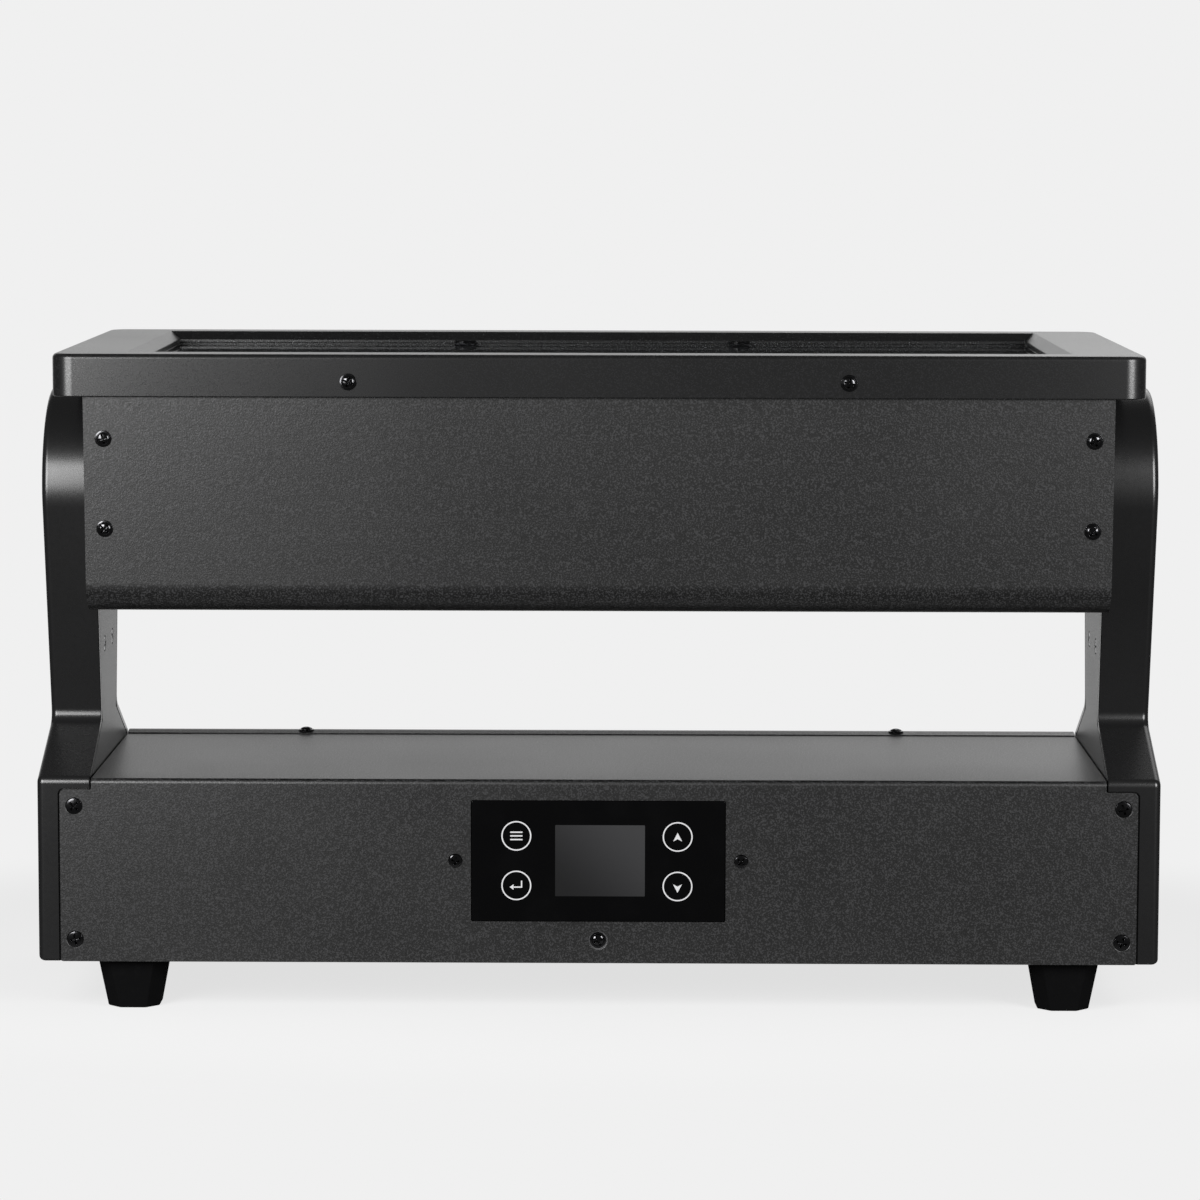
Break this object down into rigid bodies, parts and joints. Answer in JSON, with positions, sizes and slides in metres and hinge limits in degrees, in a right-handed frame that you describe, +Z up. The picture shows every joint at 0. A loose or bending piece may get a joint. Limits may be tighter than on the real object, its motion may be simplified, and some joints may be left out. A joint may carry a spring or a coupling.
{
  "type": "tilting light head on a control base",
  "caption": "Black box-shaped stage light: a wide glazed head tilts between two arms on a low control base with a touch display, sockets and rubber feet.",
  "frame": {"origin": "on the floor under the middle of the object, between the feet", "axes": "+X along the head to the viewer's right, -Y the front with the display, +Z up"},
  "size_m": [0.4396, 0.198, 0.2597],
  "materials": {
    "powder": "fine textured black powder coat",
    "arm_black": "satin black moulding",
    "foot_black": "smooth black rubber",
    "black_screw": "blackened steel screw",
    "zinc": "zinc plated steel",
    "alloy": "machined aluminium",
    "heat_sink": "extruded aluminium",
    "mirror_metal": "bright reflector sheet",
    "window": "clear toughened glass",
    "touch_glass": "gloss black touch panel",
    "gasket": "black foam gasket",
    "belt": "black toothed belt",
    "led_board": "white circuit board with emitters",
    "circuit": "green circuit board",
    "fan_black": "black fan plastic",
    "motor": "dark motor body",
    "blue_socket": "blue socket plastic",
    "grey_socket": "grey socket plastic",
    "metal_socket": "black socket body"
  },
  "bodies": {
    "stand": {"arm_shell_left": "arm_black", "arm_shell_right": "arm_black", "arm_frame_left": "powder", "arm_frame_right": "powder", "bearing_housing_left": "alloy", "bearing_housing_right": "alloy", "tilt_bearing_left": "zinc", "tilt_bearing_right": "zinc", "tilt_stop_posts": "zinc", "tilt_sensor_board": "circuit", "tilt_motor": "motor", "tilt_belt": "belt", "arm_screws": "black_screw", "base_cover": "powder", "base_rear_panel": "powder", "base_bottom_plate": "powder", "display_glass": "touch_glass", "display_board": "circuit", "display_bracket": "zinc", "power_supply": "heat_sink", "driver_board": "circuit", "base_fan_frame": "fan_black", "power_inlet": "blue_socket", "power_outlet": "grey_socket", "data_inlet": "metal_socket", "data_outlet": "metal_socket", "fuse_holder": "metal_socket", "feet": "foot_black", "foot_screws": "zinc", "base_screws": "black_screw", "safety_eye": "powder", "rigging_inserts": "zinc"},
    "head": {"head_bezel": "powder", "window_glass": "window", "glass_gasket": "gasket", "glass_clips": "zinc", "reflector_left": "mirror_metal", "reflector_centre": "mirror_metal", "reflector_right": "mirror_metal", "led_board_left": "led_board", "led_board_centre": "led_board", "led_board_right": "led_board", "heat_sink": "heat_sink", "head_wrap": "powder", "head_end_plate_left": "powder", "head_end_plate_right": "powder", "tilt_hub_left": "alloy", "tilt_hub_right": "alloy", "driven_pulley": "alloy", "stop_disc": "zinc", "head_fan_frame_left": "fan_black", "head_fan_frame_right": "fan_black", "head_screws": "black_screw"},
    "motor_rotor": {"motor_pulley": "alloy"},
    "head_fan_left": {"head_fan_rotor_left": "fan_black"},
    "head_fan_right": {"head_fan_rotor_right": "fan_black"},
    "base_fan": {"base_fan_rotor": "fan_black"},
    "latch": {"data_latch": "zinc"},
    "fuse": {"fuse_cap": "metal_socket"}
  },
  "joints": [
    {"name": "head_tilt", "type": "hinge", "parent": "stand", "child": "head", "pos_m": [0, 0, 0.20222], "axis": [1, 0, 0], "range_deg": [-90, 90]},
    {"name": "motor_spin", "type": "hinge", "parent": "stand", "child": "motor_rotor", "pos_m": [0, 0, 0.0562], "axis": [1, 0, 0], "range_deg": [-270, 270]},
    {"name": "head_fan_left_spin", "type": "hinge", "parent": "head", "child": "head_fan_left", "pos_m": [-0.092, 0, 0.16172], "axis": [0, 0, 1], "continuous": true},
    {"name": "head_fan_right_spin", "type": "hinge", "parent": "head", "child": "head_fan_right", "pos_m": [0.092, 0, 0.16172], "axis": [0, 0, 1], "continuous": true},
    {"name": "base_fan_spin", "type": "hinge", "parent": "stand", "child": "base_fan", "pos_m": [0, 0.0655, 0.0562], "axis": [0, 1, 0], "continuous": true},
    {"name": "latch_press", "type": "slide", "parent": "stand", "child": "latch", "axis": [0, -1, 0], "range_m": [0, 0.002], "stiffness_N_per_m": 400},
    {"name": "fuse_cap_turn", "type": "hinge", "parent": "stand", "child": "fuse", "pos_m": [0.076, 0.067, 0.0562], "axis": [0, 1, 0], "range_deg": [-90, 0]}
  ],
  "couplings": [
    {"joint": "motor_spin", "follows": "head_tilt", "ratio": 3}
  ]
}
